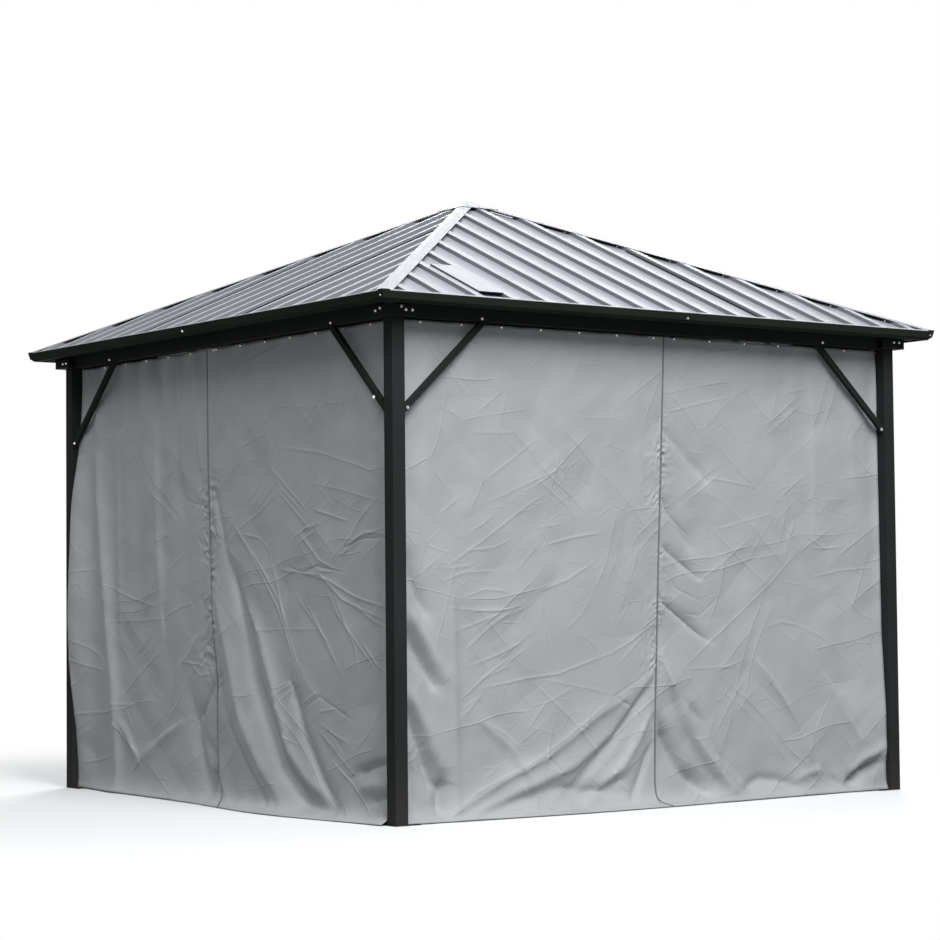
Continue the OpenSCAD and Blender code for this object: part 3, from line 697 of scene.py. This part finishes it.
# Fine creases: height in tenths of a millimetre, then points along the side and up in millimetres
drawnCreases = {
    "front_left": [
        (-26, -230, 458, -125, 421), (20, -1000, 620, -860, 660, -740, 710),
        (18, -1020, 900, -920, 930, -800, 920), (18, -990, 1090, -870, 1100, -790, 1130),
        (22, -1110, 1020, -896, 1146, -676, 1286, -604, 1320), (16, -902, 1282, -675, 1373, -451, 1455),
        (16, -1143, 1229, -1042, 1303), (18, -926, 1364, -839, 1420, -639, 1552),
        (24, -607, 1111, -455, 1144, -311, 1163), (22, -656, 917, -492, 965, -348, 1039),
        (18, -1126, 967, -1013, 1000, -881, 1004), (16, -1118, 1013, -988, 1026),
        (18, -1112, 856, -949, 844, -766, 846), (20, -1016, 688, -900, 774, -775, 846),
        (18, -1080, 757, -850, 827), (24, -1051, 482, -919, 577, -799, 649), (24, -1039, 413, -937, 505),
        (20, -1032, 449, -961, 492), (24, -936, 528, -703, 564, -550, 576, -252, 659),
        (24, -252, 659, -144, 708, -12, 785), (24, -703, 564, -500, 404, -335, 235, -205, 85),
        (26, -941, 393, -823, 335, -751, 273), (18, -751, 273, -669, 164),
        (-26, -626, 254, -537, 164, -512, 100), (20, -1117, 20, -965, 113, -645, 239, -397, 380, -255, 470),
        (-20, -255, 470, -111, 541, -19, 601), (16, -551, 1423, -487, 1345, -467, 1248),
        (14, -982, 1536, -909, 1431), (12, -387, 1649, -186, 1655), (12, -981, 1569, -740, 1574),
        (18, -630, 1181, -543, 1060), (12, -263, 1611, -221, 1460, -184, 1350),
        (12, -1186, 1425, -1074, 1322), (16, -747, 1013, -636, 1120), (14, -504, 759, -416, 821, -363, 896),
        (-22, -237, 470, -113, 413), (18, -714, 348, -620, 455, -464, 517),
        (16, -639, 918, -615, 790, -597, 629), (18, -941, 151, -875, 206, -949, 203),
        (14, -1102, 1675, -1035, 1620), (14, -618, 555, -254, 487), (16, -208, 620, -71, 734),
        (16, -952, 564, -786, 620), (14, -867, 800, -699, 858)],
    "front_right": [
        (22, 571, 582, 722, 421, 855, 245, 872, 129), (20, 998, 412, 1115, 234, 1173, 144),
        (-28, 29, 1022, 109, 925, 255, 868), (20, 140, 578, 302, 379), (18, 830, 600, 930, 470, 990, 330),
        (18, 880, 1160, 1000, 1100, 1100, 1110), (18, 1150, 860, 1220, 800, 1300, 780),
        (22, 134, 580, 399, 764, 652, 941, 855, 1112), (22, 325, 1181, 478, 1058, 578, 982, 665, 927),
        (14, 334, 1178, 555, 1231, 672, 1253), (18, 56, 1683, 235, 1727, 422, 1766),
        (20, 287, 1409, 429, 1394, 581, 1374), (20, 368, 1544, 485, 1444, 581, 1374),
        (-20, 393, 1634, 447, 1578), (-30, 35, 1297, 119, 1213, 185, 1153),
        (-30, 32, 1111, 125, 1051, 225, 988), (-36, 35, 870, 147, 795, 274, 709),
        (18, 305, 282, 392, 404, 508, 548), (24, 543, 618, 672, 505, 773, 398, 856, 221),
        (18, 620, 751, 724, 774, 829, 758, 944, 564), (18, 910, 972, 1086, 1002, 1289, 1016),
        (18, 854, 1045, 914, 972), (20, 978, 538, 1092, 394, 1185, 250),
        (18, 1136, 633, 1233, 546, 1294, 416), (16, 134, 579, 469, 585),
        (16, 533, 1056, 610, 1155, 691, 1253), (18, 221, 943, 386, 1044, 554, 1155),
        (-18, 147, 822, 236, 807, 332, 874), (16, 716, 850, 810, 779), (16, 733, 732, 808, 682),
        (14, 282, 1344, 373, 1311, 500, 1223), (14, 1044, 875, 1170, 782), (14, 995, 1320, 1153, 1329),
        (14, 755, 1793, 900, 1826), (20, 170, 277, 305, 282), (16, 577, 920, 691, 1003),
        (18, 829, 758, 981, 700, 1135, 591), (16, 319, 244, 371, 94), (14, 484, 428, 537, 330)],
    "left_front": [
        (22, 291, 1067, 475, 880, 636, 589), (20, 407, 1065, 501, 825, 560, 679),
        (18, 673, 888, 773, 789, 903, 630), (20, 906, 887, 1049, 702, 1071, 580),
        (20, 1097, 720, 1190, 634, 1298, 580), (-24, 685, 446, 786, 493, 917, 444, 1029, 403),
        (22, 801, 378, 883, 345, 1012, 306), (22, 426, 374, 514, 477, 635, 553),
        (-22, 817, 369, 915, 320, 979, 261), (22, 1060, 291, 1155, 355, 1219, 453),
        (24, 898, 222, 1042, 141, 1213, 21), (-24, 538, 1035, 657, 1006, 759, 1032, 956, 1007),
        (26, 657, 1006, 841, 977, 1051, 904, 1301, 851), (22, 1051, 869, 1192, 799, 1300, 765),
        (18, 277, 1273, 367, 1345, 447, 1397), (22, 131, 1193, 257, 1086, 381, 982),
        (16, 464, 1378, 593, 1300, 644, 1262), (18, 422, 1565, 404, 1473, 464, 1387),
        (18, 436, 1176, 382, 1121, 416, 1000), (20, 167, 1182, 312, 1160, 382, 1112),
        (24, 626, 1171, 710, 1114, 777, 1059, 925, 1012), (22, 660, 1188, 795, 1212),
        (24, 925, 1039, 1007, 1117, 1119, 1167, 1291, 1154), (-22, 975, 1109, 1119, 1141, 1291, 1137),
        (20, 990, 1091, 1056, 1195, 1215, 1304), (22, 19, 1138, 111, 1070),
        (24, 62, 1268, 193, 1128, 321, 1005, 447, 870, 526, 758, 630, 562),
        (18, 365, 1487, 528, 1373, 687, 1268), (18, 115, 1198, 324, 1280, 478, 1362),
        (16, 366, 1621, 454, 1483), (12, 380, 1724, 704, 1703, 1037, 1711),
        (16, 454, 1549, 798, 1503, 1033, 1449, 1260, 1394), (14, 725, 1381, 962, 1343, 1258, 1281),
        (20, 735, 1271, 1007, 1213), (18, 907, 1055, 1053, 1186, 1191, 1306),
        (24, 474, 1023, 647, 1007, 792, 996, 956, 894, 1274, 803),
        (20, 839, 934, 921, 831, 1047, 729, 1209, 595), (24, 418, 458, 506, 513, 598, 555),
        (20, 598, 555, 629, 451, 713, 363), (22, 641, 451, 775, 513), (18, 761, 364, 882, 292, 1041, 183),
        (10, 215, 762, 521, 769, 814, 772), (18, 118, 1551, 237, 1588, 366, 1608),
        (20, 588, 1159, 723, 1208), (18, 624, 1132, 746, 1179), (22, 971, 1112, 1098, 1154, 1268, 1181),
        (20, 935, 1074, 1098, 1135), (20, 62, 1247, 154, 1156), (16, 241, 722, 369, 657),
        (18, 786, 430, 928, 447), (18, 452, 1363, 722, 1182), (18, 1093, 730, 1249, 581),
        (16, 467, 340, 643, 282), (18, 321, 1005, 242, 843, 189, 722), (16, 573, 936, 837, 727, 952, 575),
        (18, 769, 1012, 911, 1010), (14, 40, 1785, 200, 1863)],
    "left_back": [
        (-24, -228, 1173, -170, 1123, -113, 1074), (-20, -324, 1351, -169, 1307),
        (20, -236, 1377, -130, 1412), (22, -300, 620, -200, 560, -110, 570),
        (-22, -310, 520, -210, 600, -120, 690), (22, -260, 300, -190, 420, -110, 520),
        (18, -1066, 974, -851, 909, -598, 869), (18, -526, 822, -382, 865, -255, 886),
        (14, -1035, 797, -731, 805, -482, 815), (20, -960, 431, -763, 554, -550, 673),
        (24, -470, 489, -398, 590, -327, 675, -215, 746), (22, -506, 344, -414, 420, -328, 521),
        (26, -1001, 342, -890, 254, -759, 180), (26, -770, 177, -607, 251, -409, 336),
        (22, -834, 98, -730, 167), (18, -1386, 630, -1225, 590, -1068, 563),
        (16, -1353, 723, -1193, 672, -1067, 619), (16, -1425, 463, -1289, 507),
        (18, -1299, 124, -1148, 141, -1004, 169), (16, -1400, 1022, -1287, 1039, -1159, 1045),
        (16, -1419, 346, -1226, 364, -1007, 374), (14, -1156, 1679, -1031, 1665),
        (16, -1007, 410, -824, 411), (20, -341, 619, -133, 601), (16, -893, 1547, -756, 1584),
        (14, -550, 1459, -434, 1482), (16, -821, 293, -899, 391), (18, -495, 1029, -366, 1097),
        (16, -611, 1159, -480, 1199)]}
creaseWidth = 0.0034


def alongLine(points, x, z):
    nearest, place, side = np.full_like(x, 9.0), np.zeros_like(x), np.ones_like(x)
    lengths = [math.dist(a, b) for a, b in zip(points, points[1:])]
    gone = 0.0
    for (ax, az), (bx, bz), length in zip(points, points[1:], lengths):
        t = np.clip(((x - ax) * (bx - ax) + (z - az) * (bz - az)) / length**2, 0.0, 1.0)
        apart = np.hypot(x - ax - t * (bx - ax), z - az - t * (bz - az))
        closer = apart < nearest
        nearest = np.where(closer, apart, nearest)
        place = np.where(closer, (gone + t * length) / sum(lengths), place)
        side = np.where(closer, (bx - ax) * (z - az) - (bz - az) * (x - ax), side)
        gone += length
    return nearest, place, side


def pointsOf(flat):
    return [(x / 1000, z / 1000) for x, z in zip(flat[::2], flat[1::2])]


def foldHeight(x, z, folds):
    height = np.zeros_like(x)
    for depth, right, left, *flat in folds:
        nearest, place, side = alongLine(pointsOf(flat), x, z)
        width = np.where(side > 0, right / 1000, left / 1000)
        taper = np.clip(np.minimum(place / 0.18, (1.15 - place) / 0.35), 0.0, 1.0)
        height += depth / 1000 * np.exp(-((nearest / width) ** 1.25)) * (0.3 + 0.7 * taper)
    return height


def creaseHeight(x, z, creases):
    height, closest = np.zeros_like(x), np.full_like(x, 9.0)
    for size, *flat in creases:
        nearest, place, _ = alongLine(pointsOf(flat), x, z)
        taper = np.clip(np.minimum(place, 1.0 - place) / 0.2, 0.0, 1.0)
        height += size / 10000 * np.exp(-nearest / creaseWidth) * (0.35 + 0.65 * taper)
        closest = np.minimum(closest, nearest)
    return height, closest


puckers = {  # along the zip: height, reach on the left and right, shown from and to down the cut
    "front": dict(size=0.0050, reach=(0.060, 0.050), low=0.3, high=1.6),
    "left": dict(size=0.0085, reach=(0.110, 0.060), low=0.5, high=1.6)}
puckerWaves = ((0.055, 0.9, 0.60), (0.037, -0.6, 0.35), (0.090, 0.4, 0.45))  # pitch, slant, share


def puckerHeight(u, v, zipU, label, seed):
    pucker = puckers[label]
    offset = u - zipU
    aside = np.abs(offset)
    wave = np.zeros_like(u)
    for i, (pitch, slant, share) in enumerate(puckerWaves):
        drift = 0.9 * ripple(v, 1.6 * offset, seed + 7 + i, 5, 0.10, 0.4)
        wave += share * (1.0 - 2.0 * np.abs(np.sin(math.pi * ((v - slant * aside) / pitch + drift))))
    strong = np.clip(0.6 + 0.6 * ripple(v, np.sign(offset), seed + 17, 5, 0.15, 0.6), 0.15, 1.5)
    shown = np.clip((v - pucker["low"]) / 0.15, 0, 1) * np.clip((pucker["high"] - v) / 0.15, 0, 1)
    reach = np.where(offset < 0, *pucker["reach"])
    return pucker["size"] * wave * strong * shown * np.exp(-((aside / reach) ** 1.3))


def planOf(bm, span):
    plan = np.array([vert.co[:2] for vert in bm.verts])
    return span[0] + (plan[:, 0] + 0.5) * (span[1] - span[0]), 0.5 - plan[:, 1]


def refineNear(bm, grid, span, label, creases, zipShare):
    for reach, zipReach in sheetCut["refine"]:  # smaller cells along the fine creases and the zip
        across, down = planOf(bm, span)
        place = sheetPlace(grid, down, across, label)
        near = creaseHeight(place[:, 0], place[:, 2], creases)[1] < reach
        near |= np.abs(across - zipShare) < zipReach / (2 * sheetCut["reach"])
        bm.verts.index_update()
        edges = [edge for edge in bm.edges if near[edge.verts[0].index] or near[edge.verts[1].index]]
        bmesh.ops.subdivide_edges(bm, edges=edges, cuts=1, use_grid_fill=True)
    bm.verts.index_update()


def makeCurtain(name, label, grid, side, half):
    cut, kind = sheetCut, sheetKinds[label]
    zipShare = zipColumn(kind) / cut["columns"]
    span = (0.0, zipShare - cut["gap"]) if half == 0 else (zipShare + cut["gap"], 1.0)
    creases = drawnCreases.get(name.replace("cloth_", ""), [])
    columns, rows = cut["cells"][side]
    bm = bmesh.new()
    flatLayer = bm.loops.layers.uv.new("flat")
    bmesh.ops.create_grid(bm, x_segments=columns, y_segments=rows, size=0.5)
    if creases:
        refineNear(bm, grid, span, label, creases, zipShare)
    across, down = planOf(bm, span)
    step = 0.004
    place = sheetPlace(grid, down, across, label)
    along = sheetPlace(grid, down, across + step, label) - sheetPlace(grid, down, across - step, label)
    below = sheetPlace(grid, down + step, across, label) - sheetPlace(grid, down - step, across, label)
    normal = np.cross(below, along)
    normal /= np.linalg.norm(normal, axis=1)[:, None] + 1e-9
    u = (across - 0.5) * 2 * cut["reach"]
    v = down * (cut["topZ"] + cut["hemRun"])
    zipU = (zipShare - 0.5) * 2 * cut["reach"]
    calm = np.clip(v / 0.08, 0.0, 1.0) * np.clip(np.abs(u - zipU) / 0.010, 0.0, 1.0)  # header tape and zip
    rise = puckerHeight(u, v, zipU, label, kind["seed"])
    rise = rise + kind["gain"] * creaseHeight(place[:, 0], place[:, 2], creases)[0]
    rise = rise + foldHeight(place[:, 0], place[:, 2], drawnFolds[label])
    shift = normal * (rise * calm)[:, None]
    shift[:, 2] *= np.clip(place[:, 2] / 0.06, 0.0, 1.0)  # the hem stays on the ground
    place = place + shift
    aside, above = cut["braceFrom"]
    braceZone = (np.abs(place[:, 0]) > aside) & (place[:, 2] > above)
    place[:, 1] = np.where(braceZone, np.maximum(place[:, 1], -braceIn + cut["braceClear"]), place[:, 1])
    place[:, 2] = np.maximum(place[:, 2], cut["floorClear"])
    turn = turned(sideTurn[side])
    for vert, spot in zip(bm.verts, place):
        vert.co = turn @ Vector(spot)
    for face in bm.faces:
        for loop in face.loops:
            loop[flatLayer].uv = (u[loop.vert.index], v[loop.vert.index])
    piece = keepPiece(name, bm, curtainCloth, True)
    wall = piece.modifiers.new("cloth", "SOLIDIFY")
    wall.thickness = cut["thickness"]
    wall.offset = 0.0
    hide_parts(name.replace("cloth", "curtain"))
    print(name, len(piece.data.polygons), "faces")


def curveMesh(name, points, radius):
    data = bpy.data.curves.new(name, "CURVE")
    data.dimensions = "3D"
    data.bevel_depth = radius
    data.bevel_resolution = 2
    data.use_fill_caps = True
    line = data.splines.new("POLY")
    line.points.add(len(points) - 1)
    for point, spot in zip(line.points, points):
        point.co = (*spot, 1.0)
    draft = bpy.data.objects.new(name, data)
    scene.collection.objects.link(draft)
    mesh = bpy.data.meshes.new_from_object(draft.evaluated_get(bpy.context.evaluated_depsgraph_get()))
    bpy.data.objects.remove(draft)
    return mesh


zipCut = dict(radius=0.0040, out=0.0015, clear=0.0050, points=110)


def makeZip(label, grid, side):
    zipShare = zipColumn(sheetKinds[label]) / sheetCut["columns"]
    down = np.linspace(0.002, 0.998, zipCut["points"])
    across = zipShare + 0.018 * np.clip((down - 0.962) / 0.036, 0.0, 1.0) ** 2  # rounded corner at the foot
    place = sheetPlace(grid, down, across, label)
    place[:, 1] -= zipCut["out"]
    place[:, 2] = np.maximum(place[:, 2], zipCut["clear"])
    turn = turned(sideTurn[side])
    mesh = curveMesh("zip_" + side, [turn @ Vector(spot) for spot in place], zipCut["radius"])
    return keepMesh("zip_" + side, mesh, zipTape, True)


halfNames = {
    "front": ("front_left", "front_right"), "right": ("right_front", "right_back"),
    "back": ("back_right", "back_left"), "left": ("left_back", "left_front")}
braceIn = -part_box("knee_braces_front_left")[0].y - 0.022
colliders = [addCollider("floorBody", (-3, -3, -0.3), (3, 0.5, 0.0))]
for sign in (-1, 1):
    ends = sorted((sign * postIn, sign * postOut))
    colliders.append(addCollider("postBody", (ends[0], -postOut, 0.0), (ends[1], -postIn, beamLow)))
sheets = {label: simulateSheet(label.title(), kind) for label, kind in sheetKinds.items()}
for body in colliders:
    bpy.data.objects.remove(body)
for label, kind in sheetKinds.items():
    for side in kind["turns"]:
        closure = makeZip(label, sheets[label], side)
        for half in (0, 1):
            makeCurtain("cloth_" + halfNames[side][half], label, sheets[label], side, half)
print("curtains hung", round(time.time() - began, 1))


# Bolts, hooks, seams and splices

def stud(bm, degrees, place, low, high, depth):
    x, z, out = place
    spot = Matrix.Translation((x, -out - depth / 2, z)) @ Matrix.Rotation(math.pi / 2, 4, "X")
    bmesh.ops.create_cone(bm, cap_ends=True, segments=12, radius1=low, radius2=high, depth=depth,
                          matrix=turned(degrees) @ spot)


def bar(bm, size, place):
    made = bmesh.ops.create_cube(bm, size=1.0)["verts"]
    bmesh.ops.scale(bm, verts=made, vec=size)
    bmesh.ops.transform(bm, matrix=place, verts=made)


faceOut, faceFoot, faceSlant = 1.533, eaveTop - 0.029, 0.0075  # the fascia leans in towards its foot


def fasciaOut(z):
    return faceOut - faceSlant * (eaveTop - z) / (eaveTop - faceFoot)


braceOut = -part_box("knee_braces_front_left")[0].y
boltPlaces = {  # along the side, height, how far out, washer's radius
    "front": [(-1.379, 2.054, bracketOut, 0.006), (-1.358, 2.041, bracketOut, 0.006),
              (-1.326, 2.041, bracketOut, 0.006), (1.372, 2.049, bracketOut, 0.006),
              (1.405, 2.049, bracketOut, 0.006), (-0.955, 2.030, postOut, 0.006),
              (0.955, 2.030, postOut, 0.006),
              (-1.323, 1.656, braceOut, 0.007), (1.326, 1.650, braceOut, 0.007),
              (0.042, 2.078, fasciaOut(2.078), 0.006), (1.512, 2.082, fasciaOut(2.082), 0.006)],
    "left": [(-1.358, 2.041, bracketOut, 0.006), (-1.326, 2.041, bracketOut, 0.006),
             (1.372, 2.049, bracketOut, 0.006), (1.340, 2.041, bracketOut, 0.006),
             (-0.955, 2.030, postOut, 0.006), (0.955, 2.030, postOut, 0.006),
             (-1.323, 1.656, braceOut, 0.007), (1.259, 1.704, braceOut, 0.008),
             (-0.043, 2.078, fasciaOut(2.078), 0.006), (1.512, 2.082, fasciaOut(2.082), 0.006)]}
washerThick, headHigh = 0.0014, 0.0036
spliceSize, spliceZ, scrapeSize, scrapeZ = (0.088, 0.0016, 0.027), 2.086, (0.030, 0.0005, 0.0012), 2.083
bolts, eyelets, shanks, splices, scratches = (bmesh.new() for _ in range(5))
for label, kind in sheetKinds.items():
    for side in kind["turns"]:
        degrees = sideTurn[side]
        for x, z, out, washer in boltPlaces[label]:
            stud(bolts, degrees, (x, z, out), washer, washer * 0.92, washerThick)
            stud(bolts, degrees, (x, z, out + washerThick), washer * 0.72, washer * 0.5, headHigh)
        for x in hookPlaces(kind):
            stud(eyelets, degrees, (x, sheetCut["hookZ"], slotOut + 0.0006), 0.0046, 0.0038, 0.0022)
            shank = Matrix.Translation((x, -slotOut - 0.0022, 2.018))
            bmesh.ops.create_cone(shanks, cap_ends=True, segments=8, radius1=0.0014, radius2=0.0014,
                                  depth=0.018, matrix=turned(degrees) @ shank)
        lean = Matrix.Rotation(math.atan(faceSlant / (eaveTop - faceFoot)), 4, "X")
        x = boltPlaces[label][-2][0]
        middle = Matrix.Translation((x + 0.052, -fasciaOut(spliceZ) - 0.0006, spliceZ)) @ lean
        bar(splices, spliceSize, turned(degrees) @ middle)
for x in (-1.088, -1.101):  # two scrapes on the front fascia
    slant = Matrix.Rotation(math.radians(-50), 4, "Y")
    spot = Matrix.Translation((x, -fasciaOut(scrapeZ) - 0.0001, scrapeZ))
    bar(scratches, scrapeSize, spot @ lean @ slant)
keepPiece("frame_bolts", bolts, zincSteel)
keepPiece("curtain_eyelets", eyelets, zincSteel)
keepPiece("curtain_hooks", shanks, frameCoat)
keepPiece("fascia_splices", splices, fasciaCoat)
keepPiece("fascia_scratches", scratches, zincSteel)

roofFrame = dict(
    eave=1.533, low=2.0813, ribPitch=0.175, ribHalf=0.024, gaps=7,
    lapShadowStrips={"front": (0.499,), "left": (-0.499, 0.376)}, lapSize=(0.007, 0.0050), lapLow=0.012, lapHigh=0.085,
    lapRise=0.0052, shadeBlockSize=(0.026, 0.0125), shadeBlockRise=0.0105)
pitch = math.radians(23.6)
# painted shade: dark strips at the sheet laps, the lapped edge coloured dark for the shadowed gap under it
lapShadowStrips = bmesh.new()
for label, kind in sheetKinds.items():
    for side in kind["turns"]:
        slope = Matrix.Translation((0.0, -roofFrame["eave"], roofFrame["low"]))
        slope = slope @ Matrix.Rotation(pitch, 4, "X")
        for u in roofFrame["lapShadowStrips"][label]:
            length = (roofFrame["eave"] - abs(u)) / math.cos(pitch) - roofFrame["lapHigh"]
            middle = Matrix.Translation((u, roofFrame["lapLow"] + length / 2, roofFrame["lapRise"]))
            wide, thick = roofFrame["lapSize"]
            bar(lapShadowStrips, (wide, length - roofFrame["lapLow"], thick), turned(sideTurn[side]) @ slope @ middle)
keepPiece("roof_lap_shadow_strips", lapShadowStrips, fasciaCoat)

hipShadeBlocks = bmesh.new()
hipFall = math.atan(math.tan(pitch) / math.sqrt(2))
for corner in range(4):
    for gap in range(1, roofFrame["gaps"] + 1):  # painted shade: dark blocks under the hip caps, between the ribs, stand for the shadow in those gaps
        near = gap * roofFrame["ribPitch"] + roofFrame["ribHalf"]
        far = (gap + 1) * roofFrame["ribPitch"] - roofFrame["ribHalf"]
        middle, length = (near + far) / 2, (far - near) * math.sqrt(2) / math.cos(hipFall)
        crest = roofFrame["low"] + (roofFrame["eave"] - middle) * math.tan(pitch)
        spot = Matrix.Translation((-middle, -middle, crest + roofFrame["shadeBlockRise"])) @ turned(45)
        spot = spot @ Matrix.Rotation(-hipFall, 4, "Y")
        bar(hipShadeBlocks, (length, *roofFrame["shadeBlockSize"]), turned(90 * corner) @ spot)
keepPiece("hip_shade_blocks", hipShadeBlocks, fasciaCoat)
print("small pieces made", round(time.time() - began, 1))
